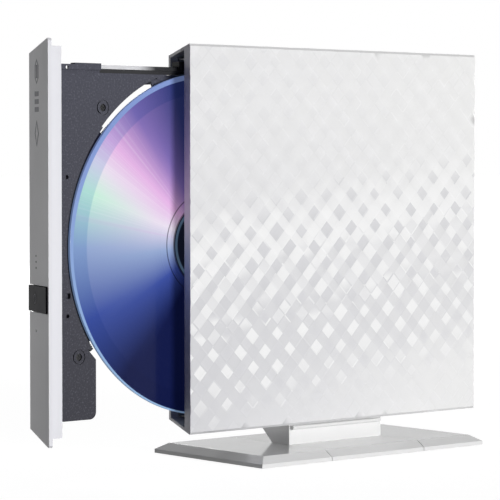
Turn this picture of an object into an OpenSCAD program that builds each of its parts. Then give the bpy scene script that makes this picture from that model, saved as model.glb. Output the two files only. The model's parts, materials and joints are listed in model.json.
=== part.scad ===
// Slim external optical drive standing upright on a plate stand, disc tray partly open.
// +Z is up, the tray opens towards -Y, and the patterned cover faces +X.
// The origin is the centre of the stand's underside. All sizes are in millimetres.

/* [Case] */
// Height of the case along its patterned face
case_h = 135.5; // [135.5:0.5:138]
// Depth of the case along its patterned face
case_d = 141; // [141:0.5:146]
// Thickness of the case
case_t = 21; // [21:0.1:22]
// How much lower each end is at the plain face than at the patterned face
end_inset = 3.4; // [2.5:0.1:3.5]
// How far the front slopes back from the patterned face to the plain face
front_rake = 7.3; // [6:0.1:7.6]
// Height of the case's lower edge above the desk
case_lift = 11.3; // [11:0.1:13]

/* [Disc and tray] */
// Diameter of the disc
disc_d = 120; // [116:0.5:120]
// How far the tray stands open
tray_open = 58.2; // [40:0.1:75]
// Width of the slim drive inside the case
drive_w = 126.5; // [126:0.1:126.5]
// Depth of the slim drive inside the case
drive_d = 126; // [126:0.1:126.4]

/* [Bezel] */
// How much lower each end of the bezel is at its plain side
bezel_inset = 4.4; // [3.4:0.1:5]
// Thickness of the bezel plate
bezel_t = 1.5; // [1.2:0.1:2]
// Height of the eject button
button_h = 8.7; // [7:0.1:10]
// How far the eject button stands proud of the bezel
button_proud = 0.6; // [0.4:0.1:0.8]

/* [Stand] */
// Width of the stand plate across the case
stand_w = 60; // [50:1:80]
// Length of the stand plate along the case
stand_l = 108.8; // [100:0.2:130]
// Height of the stand plate's top
stand_top = 4; // [3.6:0.1:4.2]
// Width of the bevel round the stand plate
stand_bevel = 3.75; // [2:0.25:5]
// Length of the stand's middle bar and its pedestal
bar_l = 45.5; // [40:0.5:60]

/* [Hidden] */

$fn = 48;
eps = 0.01;
cut = 1;

// Case: faces, walls and where the two shells meet
near_x = case_t / 2;
far_x = -case_t / 2;
front_y = -case_d / 2;
rear_y = case_d / 2;
mid_z = case_lift + case_h / 2;
face_wall = 1.8;
end_wall = 1.1;
edge_chamfer = 0.95;
parting_x = 1.5;
mouth_x = 4.9;
front_flange = 1.6;

// Slim drive: a folded steel pan with a lid, against the plain face
sheet = 0.5;
drive_x0 = -8.5;
drive_x1 = 4.2;
drive_y0 = -60.5;
drive_y1 = drive_y0 + drive_d;
drive_z0 = mid_z - drive_w / 2;
drive_z1 = mid_z + drive_w / 2;

// Disc and turntable, with the tray shut
disc_y = 3.5;
disc_z = mid_z - 2.15;
disc_t = 1.2;
disc_x1 = 0.87;
disc_x0 = disc_x1 - disc_t;
disc_bore_r = 7.5;
hub_r = 7.35;
turntable_r = 14.5;
rotor_r = 11;

// Tray levels, from its lower cover to its upper face
tray_x0 = -7.2;
floor_x0 = -3.2;
floor_x1 = -2.2;
tray_x1 = 1.9;
skin = 1.2;
well_r = disc_d / 2 + 2;
tray_y0 = -62.6;
tray_y1 = 63.9;
tray_z1 = mid_z + 56.95;
tray_z0 = mid_z - 34.1;
tongue_z0 = mid_z - 60.35;
tongue_z1 = mid_z - 40.1;
tongue_y1 = -46.5;
tongue_r = 2.5;
notch_y = -49.8;
notch_z = mid_z - 36.6;
notch_y1 = -46.2;

// Rails: a strip on the tray, a middle rail round it, and a guide in the drive
rail_z = tray_z1 + 2.7;
rail_x0 = -0.6;
rail_x1 = 2.2;
low_rail_z = tray_z0 - 2.7;
low_rail_x0 = -6.4;
low_rail_x1 = -3.6;
rail_gap = 0.2;
rail_wall = 0.4;
middle_rail_y0 = -40;
low_middle_rail_y0 = -45.7;
middle_rail_y1 = 58;
middle_open = tray_open / 2;

// Pickup: rods, lead screw and sled run outwards from the spindle at this angle
sled_angle = 46;
rod_x = -5.2;
rod_r = 1;
rod_far = 13;
rod_near = -9;
screw_v = -15.5;
screw_r = 1.1;
sled_start = 24;
sled_half = 6.5;
rod_end = 64;

// Bezel and its block
block_x1 = mouth_x - 0.3;
block_x0 = far_x + face_wall + 0.3;
mouth_gap = 0.3;
button_z = case_lift + 48.9;
button_travel = 0.5;
light_x = -3.2;
light_z = [59.2, 61.2, 63.2];
pinhole_z = case_lift + 38.1;
pinhole_x = -3.4;

// Latch: a lever on the tray hooks round a post in the drive
pivot_y = -57;
pivot_z = case_lift + 13.2;
post_y = -50.5;
post_z = case_lift + 18.7;
lever_x0 = -6.6;
lever_x1 = -5;

// Stand
bar_y0 = 0.95 - bar_l / 2;
bar_y1 = 0.95 + bar_l / 2;
plate_z0 = 0.3;
edge_z = 1.7;
seam = 0.12;
pedestal_x1 = 7;
pedestal_x0 = -1.9;
pad_t = 0.8;

// Height from the middle to an end of the case, at a depth x
function half_height(x, inset = end_inset) = case_h / 2 - inset * (near_x - x) / case_t;
// The sloping front of the case, at a depth x
function front_at(x) = front_y + front_rake * (near_x - x) / case_t;
// The case's lower surface, at a depth x
function case_bottom(x) = mid_z - half_height(x);

// A profile in X and Z, drawn from y0 to y1
module along_y(points, y0, y1) {
    translate([0, y1, 0]) rotate([90, 0, 0]) linear_extrude(y1 - y0) polygon(points);
}
// A profile in X and Y, drawn from z0 to z1
module along_z(points, z0, z1) {
    translate([0, 0, z0]) linear_extrude(z1 - z0) polygon(points);
}
// A flat outline in Y and Z, drawn from x0 to x1
module along_x(x0, x1) {
    translate([x0, 0, 0]) rotate([90, 0, 90]) linear_extrude(x1 - x0) children();
}
module rod_along_x(y, z, r, x0, x1) {
    translate([x0, y, z]) rotate([0, 90, 0]) cylinder(h = x1 - x0, r = r);
}
module rod_along_y(x, z, r, y0, y1) {
    translate([x, y0, z]) rotate([-90, 0, 0]) cylinder(h = y1 - y0, r = r);
}
module block(low, high) {
    translate(low) cube(high - low);
}
// A screw along X whose head is at x1, pointing towards -X
module screw_along_x(y, z, x0, x1, head_r, head_t, shank_r) {
    rod_along_x(y, z, shank_r, x0, x1 - head_t);
    difference() {
        rod_along_x(y, z, head_r, x1 - head_t, x1);
        for (turn = [0, 90])
            translate([x1, y, z]) rotate([turn, 0, 0]) cube([head_t, head_r * 1.3, head_r * 0.3], center = true);
    }
}
// Everything on the tray is drawn with the tray shut, then moved to where the tray stands
module on_tray() {
    translate([0, -tray_open, 0]) children();
}
module on_middle_rail() {
    translate([0, -middle_open, 0]) children();
}
// Local frame of the pickup: Y runs outwards from the spindle, Z runs across the rods
module along_sled() {
    translate([0, disc_y, disc_z]) rotate([sled_angle, 0, 0]) children();
}

// The outer form of the case between two depths, its ends pulled in by gap
module case_form(x0, x1, gap, y_front_gap, y1, inset = end_inset) {
    intersection() {
        along_y([
            [x0, mid_z - half_height(x0, inset) + gap], [x1, mid_z - half_height(x1, inset) + gap],
            [x1, mid_z + half_height(x1, inset) - gap], [x0, mid_z + half_height(x0, inset) - gap]
        ], front_y - 20, y1);
        along_z([
            [x0, front_at(x0) + y_front_gap], [x1, front_at(x1) + y_front_gap], [x1, y1], [x0, y1]
        ], 0, case_lift + case_h + 10);
    }
}
// Cuts the small chamfer round the patterned face
module face_chamfer() {
    for (side = [-1, 1])
        along_y([
            [near_x - edge_chamfer, mid_z + side * (half_height(near_x) + eps)],
            [near_x + eps, mid_z + side * (half_height(near_x) - edge_chamfer)],
            [near_x + eps, mid_z + side * (half_height(near_x) + cut)],
            [near_x - edge_chamfer, mid_z + side * (half_height(near_x) + cut)]
        ], front_y - cut, rear_y + cut);
    along_z([
        [near_x - edge_chamfer, rear_y + eps], [near_x + eps, rear_y - edge_chamfer],
        [near_x + eps, rear_y + cut], [near_x - edge_chamfer, rear_y + cut]
    ], 0, case_lift + case_h + cut);
}

// Stand -------------------------------------------------------------------------

module stand_plate(y0, y1) {
    half_w = stand_w / 2;
    half_l = stand_l / 2;
    intersection() {
        along_y([
            [-half_w, plate_z0], [half_w, plate_z0], [half_w, edge_z],
            [half_w - stand_bevel, stand_top], [-half_w + stand_bevel, stand_top], [-half_w, edge_z]
        ], y0, y1);
        along_x(-half_w, half_w) polygon([
            [-half_l, plate_z0], [half_l, plate_z0], [half_l, edge_z],
            [half_l - stand_bevel, stand_top], [-half_l + stand_bevel, stand_top], [-half_l, edge_z]
        ]);
    }
}
tongue_l = 10;
tongue_w = 40;
tongue_top = 1.7;
screw_x = 14;
peg_y = [bar_y0 + 9, bar_y1 - 9];
peg_x = -3;
foot_r = 5;
foot_t = 1;
module stand_bar() {
    color("white") {
        difference() {
            stand_plate(bar_y0 + seam, bar_y1 - seam);
            block([-tongue_w / 2 - 0.2, bar_y0 - cut, plate_z0 - cut], [tongue_w / 2 + 0.2, bar_y0 + tongue_l + 0.2, tongue_top]);
            block([-tongue_w / 2 - 0.2, bar_y1 - tongue_l - 0.2, plate_z0 - cut], [tongue_w / 2 + 0.2, bar_y1 + cut, tongue_top]);
            for (x = [-screw_x, screw_x], y = [bar_y0 + tongue_l / 2, bar_y1 - tongue_l / 2])
                translate([x, y, plate_z0]) cylinder(h = 3, r = 0.8);
            translate([0, 0, plate_z0 - cut]) linear_extrude(cut + foot_t - plate_z0)
                square([18.1, 18.1], center = true);
        }
        difference() {
            along_y([
                [pedestal_x0, stand_top - 0.5], [pedestal_x1, stand_top - 0.5],
                [pedestal_x1, case_bottom(pedestal_x1) - pad_t - 0.05],
                [far_x - 0.3, case_bottom(far_x - 0.3) - pad_t - 0.05],
                [far_x - 0.3, case_bottom(far_x) + 6.5], [far_x - 1, case_bottom(far_x) + 7.2],
                [far_x - 2, case_bottom(far_x) + 6.5], [far_x - 2, case_bottom(far_x) - 1.5]
            ], bar_y0, bar_y1);
            rod_along_y(pedestal_x1 + 1.2, case_lift - 1.1, 0.75, bar_y0 + 0.4, bar_y1 - 1.6);
        }
        for (y = peg_y)
            along_y([
                [peg_x - 1, case_bottom(peg_x - 1) - 2], [peg_x + 1, case_bottom(peg_x + 1) - 2],
                [peg_x + 1, case_bottom(peg_x + 1) + 0.9], [peg_x - 1, case_bottom(peg_x + 1) + 0.9]
            ], y - 2.5, y + 2.5);
    }
}
// A wing of the plate, with the tongue that reaches under the bar
module stand_wing(side) {
    edge = side < 0 ? bar_y0 : bar_y1;
    foot_y = side * (stand_l / 2 - 8.5);
    color("white")
    difference() {
        union() {
            if (side < 0) stand_plate(-stand_l, edge - seam);
            else stand_plate(edge + seam, stand_l);
            translate([0, edge - side * (tongue_l / 2 - 0.5), (plate_z0 + tongue_top) / 2])
                cube([tongue_w, tongue_l + 1, tongue_top - plate_z0 - 0.1], center = true);
        }
        for (x = [-1, 1])
            translate([x * (stand_w / 2 - 8.5), foot_y, 0]) cylinder(h = foot_t, r = foot_r + 0.05);
        for (x = [-screw_x, screw_x])
            translate([x, edge - side * tongue_l / 2, 0]) {
                cylinder(h = 3, r = 1);
                cylinder(h = 1, r = 1.8);
            }
    }
}
module stand_wing_front() { stand_wing(-1); }
module stand_wing_rear() { stand_wing(1); }
module stand_screws() {
    color("dimgray")
    for (x = [-screw_x, screw_x], y = [bar_y0 + tongue_l / 2, bar_y1 - tongue_l / 2])
        translate([x, y, 0]) {
            translate([0, 0, 0.4]) cylinder(h = 0.6, r = 1.7);
            translate([0, 0, 0.9]) cylinder(h = 2.3, r = 0.8);
        }
}
module stand_feet() {
    color("gray") {
        for (x = [-1, 1], y = [-1, 1])
            translate([x * (stand_w / 2 - 8.5), y * (stand_l / 2 - 8.5), 0]) cylinder(h = foot_t, r = foot_r);
        linear_extrude(foot_t) square([18, 18], center = true);
    }
}
module cradle_pad() {
    low_x = far_x + 0.7;
    high_x = pedestal_x1 - 0.6;
    color("gainsboro")
    difference() {
        along_y([
            [low_x, case_bottom(low_x) - pad_t - 0.04], [high_x, case_bottom(high_x) - pad_t - 0.04],
            [high_x, case_bottom(high_x) - 0.05], [low_x, case_bottom(low_x) - 0.05]
        ], bar_y0 + 1, bar_y1 - 1);
        for (y = peg_y)
            block([peg_x - 1.3, y - 2.8, 0], [peg_x + 1.3, y + 2.8, case_lift + 10]);
    }
}
module cradle_lip() {
    lip_x = pedestal_x1 + 1.2;
    lip_z = case_lift - 1.1;
    color("whitesmoke") {
        rod_along_y(lip_x, lip_z, 0.72, bar_y0 + 0.4, bar_y1 - 1.6);
        block([pedestal_x1, bar_y0 + 0.8, lip_z - 0.4], [lip_x, bar_y1 - 2, lip_z + 0.3]);
    }
}

// Case --------------------------------------------------------------------------

usb_z = mid_z + 42;
usb_x = 6.55;
module top_cover() {
    color("white")
    difference() {
        case_form(parting_x, near_x, 0, 0, rear_y);
        face_chamfer();
        // The room inside, behind the front flange
        case_form(parting_x - cut, near_x - face_wall, end_wall, front_flange, rear_y + cut);
        // The mouth that the tray slides through
        case_form(parting_x - cut, mouth_x, end_wall, -cut, rear_y + cut);
    }
}
foot_spots = [for (y = [-48, 48], z = [-50, 50]) [y, mid_z + z]];
case_screw_spots = [for (y = [-38, 52], z = [-55, 55]) [y, mid_z + z]];
module bottom_cover() {
    color("white")
    difference() {
        case_form(far_x, parting_x, 0, 0, rear_y);
        case_form(far_x + face_wall, parting_x + cut, end_wall, -cut, rear_y + cut);
        for (spot = case_screw_spots) {
            rod_along_x(spot[0], spot[1], 2, far_x - cut, far_x + 1);
            rod_along_x(spot[0], spot[1], 1.1, far_x - cut, far_x + face_wall + cut);
        }
        for (spot = foot_spots)
            rod_along_x(spot[0], spot[1], 4.05, far_x - cut, far_x + 0.4);
        for (y = peg_y)
            block([peg_x - 1.3, y - 2.8, 0], [peg_x + 1.3, y + 2.8, case_bottom(peg_x) + end_wall + 0.5]);
    }
}
panel_y0 = rear_y - 2;
panel_y1 = rear_y - 0.5;
module rear_panel() {
    x0 = far_x + face_wall;
    x1 = near_x - face_wall;
    color("whitesmoke")
    difference() {
        intersection() {
            case_form(x0, x1, end_wall, 0, panel_y1);
            block([x0, panel_y0, 0], [x1, panel_y1, case_lift + case_h]);
        }
        block([usb_x - 2.1, panel_y0 - cut, usb_z - 4.1], [usb_x + 2.1, panel_y1 + cut, usb_z + 4.1]);
        for (z = [-1, 1])
            rod_along_y(-3, mid_z + z * 58, 0.8, panel_y0 - cut, panel_y1 + cut);
        // Cooling slots
        for (i = [-4:4])
            block([-6, panel_y0 - cut, mid_z - 20 + 5 * i], [-1, panel_y1 + cut, mid_z - 18.6 + 5 * i]);
    }
}
module case_feet() {
    color("gray")
    for (spot = foot_spots)
        rod_along_x(spot[0], spot[1], 4, far_x - 0.6, far_x + 0.4);
}
module case_screws() {
    color("silver")
    for (spot = case_screw_spots)
        mirror([1, 0, 0]) screw_along_x(spot[0], spot[1], -drive_x0 - 0.9, -far_x - 0.15, 1.9, 0.85, 0.95);
}
module rear_screws() {
    color("silver")
    for (z = [-1, 1])
        difference() {
            union() {
                rod_along_y(-3, mid_z + z * 58, 1.6, panel_y1, panel_y1 + 0.5);
                rod_along_y(-3, mid_z + z * 58, 0.8, panel_y0 - 0.8, panel_y1 + 0.1);
            }
            for (turn = [0, 90])
                translate([-3, panel_y1 + 0.5, mid_z + z * 58]) rotate([0, turn, 0]) cube([1.9, 0.5, 0.4], center = true);
        }
}
socket_y0 = rear_y - 9.8;
module usb_socket() {
    color("silver")
    difference() {
        block([usb_x - 1.95, socket_y0, usb_z - 3.9], [usb_x + 1.95, rear_y - 0.3, usb_z + 3.9]);
        block([usb_x - 1.6, socket_y0 + 1, usb_z - 3.5], [usb_x + 1.6, rear_y, usb_z + 3.5]);
    }
}
module usb_tongue() {
    color("black")
    block([usb_x - 0.5, socket_y0 + 1, usb_z - 2.6], [usb_x + 0.6, rear_y - 1.8, usb_z + 2.6]);
}
board_x0 = drive_x1 + 0.6;
board_t = 0.8;
module bridge_board() {
    color("darkgreen")
    difference() {
        block([board_x0, rear_y - 34, usb_z - 22], [board_x0 + board_t, panel_y0 - 0.2, usb_z + 14]);
        block([board_x0 - cut, socket_y0 - 0.1, usb_z - 4], [board_x0 + 2, rear_y, usb_z + 4]);
        for (y = [rear_y - 31, rear_y - 6], z = [usb_z - 19, usb_z + 11])
            rod_along_x(y, z, 1, board_x0 - cut, board_x0 + 2);
    }
}
chip_x0 = board_x0 + board_t;
module bridge_chips() {
    color("black") {
        block([chip_x0, rear_y - 26, usb_z - 4], [chip_x0 + 1.2, rear_y - 17, usb_z + 5]);
        block([chip_x0, rear_y - 13, usb_z - 15], [chip_x0 + 1, rear_y - 8, usb_z - 10]);
        block([chip_x0, rear_y - 28, usb_z - 15], [chip_x0 + 1.4, rear_y - 24, usb_z - 9]);
    }
}
module drive_link() {
    color("dimgray")
    block([-2, drive_y1, usb_z - 21], [board_x0, drive_y1 + 2.6, usb_z - 8]);
}

// Slim drive, fixed parts ---------------------------------------------------------

link_window = 14;
module drive_pan() {
    color("silver") {
        difference() {
            block([drive_x0, drive_y0, drive_z0], [drive_x1 - sheet, drive_y1, drive_z1]);
            block([drive_x0 + sheet, drive_y0 - cut, drive_z0 + sheet], [drive_x1 + cut, drive_y1 - sheet, drive_z1 - sheet]);
            block([-2.2, drive_y1 - cut, usb_z - 21.2], [drive_x1 + cut, drive_y1 + cut, usb_z - 21.2 + link_window]);
            for (spot = case_screw_spots)
                rod_along_x(spot[0], spot[1], 1, drive_x0 - cut, drive_x0 + cut);
        }
        rod_along_x(post_y, post_z, 1, drive_x0 + sheet, -4.2);
    }
}
module drive_lid() {
    color("silver")
    difference() {
        block([drive_x1 - sheet, drive_y0, drive_z0], [drive_x1, drive_y1, drive_z1]);
        for (spot = lid_screw_spots)
            rod_along_x(spot[0], spot[1], 0.8, drive_x1 - cut, drive_x1 + cut);
    }
}
lid_screw_spots = [for (y = [drive_y0 + 4, drive_y1 - 4], z = [drive_z0 + 1.4, drive_z1 - 1.4]) [y, z]];
module lid_screws() {
    color("silver")
    for (spot = lid_screw_spots)
        screw_along_x(spot[0], spot[1], drive_x1 - sheet - 0.2, drive_x1 + 0.4, 1.3, 0.4, 0.75);
}
// A rail guide: a channel that opens towards the tray; side is 1 above the tray, -1 below it
module rail_guide(x0, x1, z, side, back, y0) {
    outer = rail_wall * 2 + rail_gap * 2;
    low = side > 0 ? z + 1.1 : back;
    high = side > 0 ? back : z - 1.1;
    color("dimgray")
    difference() {
        block([x0 - outer, y0, low], [x1 + outer, drive_y1 - sheet, high]);
        block([x0 - outer + rail_wall, drive_y0, side > 0 ? low - cut : low + 0.8],
              [x1 + outer - rail_wall, drive_y1, side > 0 ? high - 0.8 : high + cut]);
    }
}
module rail_guide_upper() { rail_guide(rail_x0, rail_x1, rail_z, 1, drive_z1 - sheet, drive_y0 + 1); }
// The lower guide and middle rail start behind the tray's tongue
module rail_guide_lower() {
    rail_guide(low_rail_x0, low_rail_x1, low_rail_z, -1, low_rail_z - 3.7, low_middle_rail_y0);
    color("dimgray")
    block([drive_x0 + sheet, low_middle_rail_y0, low_rail_z - 3.7],
          [low_rail_x0 - 1.15, drive_y1 - sheet, low_rail_z - 2.9]);
}
// A middle rail: a bar with a channel that holds the tray's rail
module middle_rail(x0, x1, z, side, y0) {
    outer = rail_gap + rail_wall;
    near = z + side * (rail_gap + 0.1);
    far = z + side * 1.9;
    lip = z - side * 1.5;
    color("gray")
    difference() {
        block([x0 - outer, y0, min(lip, far)], [x1 + outer, middle_rail_y1, max(lip, far)]);
        block([x0 - rail_gap, y0 - cut, min(near, lip - side * cut)],
              [x1 + rail_gap, middle_rail_y1 + cut, max(near, lip - side * cut)]);
    }
}
module middle_rail_upper() { on_middle_rail() middle_rail(rail_x0, rail_x1, rail_z, 1, middle_rail_y0); }
module middle_rail_lower() {
    on_middle_rail() middle_rail(low_rail_x0, low_rail_x1, low_rail_z, -1, low_middle_rail_y0);
}

main_board_x0 = drive_x0 + sheet + 0.6;
module main_board() {
    color("darkgreen")
    difference() {
        block([main_board_x0, -24, drive_z0 + 1.5], [main_board_x0 + board_t, drive_y1 - 1.2, low_rail_z - 4.2]);
        for (spot = [[-20, drive_z0 + 4.5], [drive_y1 - 4, drive_z0 + 4.5]])
            rod_along_x(spot[0], spot[1], 1, main_board_x0 - cut, main_board_x0 + 2);
    }
}
main_chip_x0 = main_board_x0 + board_t;
module main_chips() {
    color("black") {
        block([main_chip_x0, 2, drive_z0 + 5], [main_chip_x0 + 1.2, 14, drive_z0 + 17]);
        block([main_chip_x0, 22, drive_z0 + 6], [main_chip_x0 + 1, 30, drive_z0 + 13]);
        block([main_chip_x0, -12, drive_z0 + 6], [main_chip_x0 + 1.2, -4, drive_z0 + 12]);
        block([main_chip_x0, 40, drive_z0 + 4], [main_chip_x0 + 1.5, 46, drive_z0 + 14]);
    }
}
module ribbon_cable() {
    color("tan") {
        block([main_chip_x0, -23, drive_z0 + 8], [main_chip_x0 + 0.8, -20, drive_z0 + 20]);
        block([main_chip_x0 + 0.3, -44, drive_z0 + 9], [main_chip_x0 + 0.5, -23, drive_z0 + 19]);
    }
}
module eject_pusher() {
    color("dimgray")
    block([-6.6, drive_y1 - 11.5, mid_z + 20], [-4.4, drive_y1 - 1.2, mid_z + 23]);
}
module eject_spring() {
    coil_r = 0.9;
    wire_r = 0.25;
    color("silver")
    for (i = [0:8])
        translate([-5.5, drive_y1 - 10.5 + i, mid_z + 24.4]) rotate([90, 0, 0])
            rotate_extrude() translate([coil_r, 0]) circle(r = wire_r, $fn = 16);
}

// Tray --------------------------------------------------------------------------

// Outline in Y and Z of the tray's main plate
module plate_outline(inset) {
    square_from([tray_y0 + inset, tray_z0 + inset], [tray_y1 - inset, tray_z1 - inset]);
}
// Outline in Y and Z of the whole tray, with the tongue at its lower front
module tray_outline() {
    polygon(concat(
        [[tray_y0, tray_z1], [tray_y0, tongue_z0]],
        [for (turn = [-90:15:0]) [tongue_y1 - tongue_r + tongue_r * cos(turn), tongue_z0 + tongue_r + tongue_r * sin(turn)]],
        [[tongue_y1, tongue_z1], [notch_y, notch_z], [notch_y1, notch_z], [notch_y1, tray_z0]],
        [[tray_y1, tray_z0], [tray_y1, tray_z1]]
    ));
}
module square_from(low, high) {
    translate(low) square(high - low);
}
// An arc-shaped opening in Y and Z, between two radii and two angles round the disc
module arc_slot(r0, r1, from, to) {
    reach = r1 * 1.5;
    middle = (from + to) / 2;
    translate([disc_y, disc_z])
    intersection() {
        difference() {
            circle(r = r1, $fn = 96);
            circle(r = r0, $fn = 96);
        }
        polygon([
            [0, 0], [reach * cos(from), reach * sin(from)],
            [reach * cos(middle), reach * sin(middle)], [reach * cos(to), reach * sin(to)]
        ]);
    }
}
slot_r0 = 56.5;
slot_r1 = 62.6;
slot_from = 112;
slot_to = 139;
rail_y0 = -44.2;
rail_step_x = 1.2;
rail_step_z = tray_z1 + 1.35;
groove_t = 0.9;
boss_spots = [[-43.4, mid_z + 45.25], [-53.7, mid_z - 38.95]];
edge_holes = [[-58.4, mid_z + 21.75, 0.7], [-58.3, mid_z - 24.95, 0.7]];
module tray() {
    color("dimgray")
    on_tray()
    difference() {
        union() {
            along_x(tray_x0, tray_x1) tray_outline();
            // Plastic front end of the upper rail
            block([rail_x0, tray_y0, tray_z1 - 1], [rail_x1, rail_y0, rail_z]);
            block([rail_x0, -55, rail_z - 1], [rail_x1, rail_y0, rail_z + 0.5]);
            for (spot = boss_spots)
                rod_along_x(spot[0], spot[1], 2.2, tray_x1 - skin / 2, tray_x1 + 0.15);
        }
        // A groove round each boss
        for (spot = boss_spots)
            difference() {
                rod_along_x(spot[0], spot[1], 2.65, tray_x1 - 0.35, tray_x1 + cut);
                rod_along_x(spot[0], spot[1], 2.2, tray_x1 - cut, tray_x1 + 2 * cut);
            }
        // Well that the disc turns in
        rod_along_x(disc_y, disc_z, well_r, floor_x1, tray_x1 + cut);
        // Room under the floor, closed by the tray cover
        difference() {
            along_x(tray_x0 - cut, floor_x0) plate_outline(skin);
            rod_along_x(boss_spots[0][0], boss_spots[0][1], 2.6, tray_x0 - 2 * cut, tray_x1);
            // Solid ring sector round the see-through slot
            along_x(tray_x0 - 2 * cut, tray_x1) arc_slot(slot_r0 - 2, slot_r1 + 1.6, slot_from - 10, slot_to + 3);
        }
        // The tongue is hollow from below and open towards the drive
        along_x(tray_x0 - cut, tray_x1 - skin)
            square_from([tray_y0 + skin, tongue_z0 + skin], [tongue_y1 + cut, tongue_z1 - 3]);
        // Groove between the plate and the rail strip
        block([rail_step_x, tray_y0 - cut, tray_z1], [rail_x1 + cut, tray_y1 + cut, tray_z1 + groove_t]);
        // Thin wall round the small hole in the rail strip
        block([rail_x0 - cut, -60.4, tray_z1 + groove_t + 0.1], [rail_x1 - 0.6, -56.4, rail_z + cut]);
        // Slot at the rim of the well, right through
        along_x(tray_x0 - 3 * cut, tray_x1 + cut) arc_slot(slot_r0, slot_r1, slot_from, slot_to);
        // Behind the floor the slot runs on, so that its end can be seen through
        along_x(tray_x0 - 3 * cut, floor_x1 - 0.7) arc_slot(slot_r0 + 0.4, slot_r1 - 2.4, slot_from - 7, slot_to - 3);
        // Opening for the turntable and the pickup
        rod_along_x(disc_y, disc_z, turntable_r + 1, tray_x0 - cut, tray_x1);
        along_sled() block([tray_x0 - cut, 0, -6], [tray_x1, sled_start + 39, 6]);
        // Screw recesses, pinholes and the square sight hole
        for (spot = boss_spots) {
            rod_along_x(spot[0], spot[1], 1.25, tray_x1 - 1.2, tray_x1 + cut);
            rod_along_x(spot[0], spot[1], 0.75, tray_x1 - 5, tray_x1);
        }
        for (hole = edge_holes)
            rod_along_x(hole[0], hole[1], hole[2], tray_x1 - 1.5, tray_x1 + cut);
        block([tray_x1 - 1.5, -59.3, mid_z - 19.1], [tray_x1 + cut, -57.1, mid_z - 17.2]);
        rod_along_x(-58.4, tray_z1 + 1.6, 0.6, rail_x0 - cut, rail_x1 + cut);
        // Opening in the rear wall for the eject pusher and its spring
        block([tray_x0 - cut, tray_y1 - skin - cut, mid_z + 19.4], [floor_x0 - 0.5, tray_y1 + cut, mid_z + 26.2]);
    }
}
cover_screw_spots = [[-57, mid_z + 50], [-57, mid_z - 20], [20, mid_z - 30], [58, mid_z - 28], [60, mid_z + 52]];
cover_t = 0.3;
module tray_cover() {
    color("silver")
    on_tray()
    difference() {
        along_x(tray_x0 - cover_t, tray_x0) plate_outline(0.3);
        along_x(tray_x0 - cut, tray_x0 + cut) arc_slot(slot_r0 - 1, slot_r1 + 3.5, slot_from - 9, slot_to + 2);
        along_sled() block([tray_x0 - cut, sled_start - 4, -5], [tray_x0 + cut, rod_end - 4, 5]);
        for (spot = cover_screw_spots)
            rod_along_x(spot[0], spot[1], 0.8, tray_x0 - cut, tray_x0 + cut);
    }
}
module tray_rail_upper() {
    color("silver")
    on_tray()
    difference() {
        block([rail_x0, rail_y0, tray_z1], [rail_x1, 60, rail_z]);
        // The steel stands proud of a step that hides its foot
        block([rail_step_x, rail_y0 - cut, tray_z1 - cut], [rail_x1 + cut, 60 + cut, rail_step_z]);
        // Relief for the disc's edge
        rod_along_x(disc_y, disc_z, disc_d / 2 + 0.7, rail_x0 - cut, rail_x1 + cut);
    }
}
module tray_rail_lower() {
    color("silver")
    on_tray() block([low_rail_x0, -36, low_rail_z], [low_rail_x1, 60, tray_z0]);
}
module tray_screws() {
    color("silver")
    on_tray()
    for (spot = boss_spots)
        screw_along_x(spot[0], spot[1], tray_x1 - 4.6, tray_x1 - 0.5, 1.2, 0.6, 0.7);
}
module cover_screws() {
    color("silver")
    on_tray()
    for (spot = cover_screw_spots)
        rod_along_x(spot[0], spot[1], 0.75, tray_x0 - cover_t, floor_x0);
}
module bezel() {
    slot_gap = 0.25;
    shift = -bezel_t - mouth_gap;
    color("white")
    on_tray()
    difference() {
        union() {
            // Plate in line with the case's outside
            intersection() {
                case_form(far_x, near_x, 0, shift, rear_y, bezel_inset);
                translate([0, -mouth_gap, 0]) difference() {
                    block([far_x - cut, front_y - 20, 0], [near_x + cut, 0, case_lift + case_h + cut]);
                    case_form(far_x - cut, near_x + cut, -5, 0, rear_y);
                }
            }
            // Block that fills the mouth when the tray is shut
            intersection() {
                case_form(block_x0, block_x1, end_wall + mouth_gap, shift + bezel_t / 2, tray_y0);
                block([block_x0, front_y - 20, 0], [block_x1, tray_y0, case_lift + case_h]);
            }
        }
        face_chamfer_front();
        // Window for the eject button, open at the plain side
        along_z([
            [far_x - cut, front_at(far_x - cut) - 5], [near_x - 1.3, front_at(near_x) - 5],
            [near_x - 1.3, front_at(near_x - 1.3) - mouth_gap], [far_x - cut, front_at(far_x - cut) - mouth_gap]
        ], button_z - button_h / 2 - slot_gap, button_z + button_h / 2 + slot_gap);
        block([-3.4, front_y, button_z - 2.4], [3.4, tray_y0 - 1.4, button_z + 2.4]);
        for (z = light_z)
            rod_along_y(light_x, case_lift + z, 0.4, front_y - 10, tray_y0 - 2);
        rod_along_y(pinhole_x, pinhole_z, 0.5, front_y - 10, tray_y0 + cut);
    }
}
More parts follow.
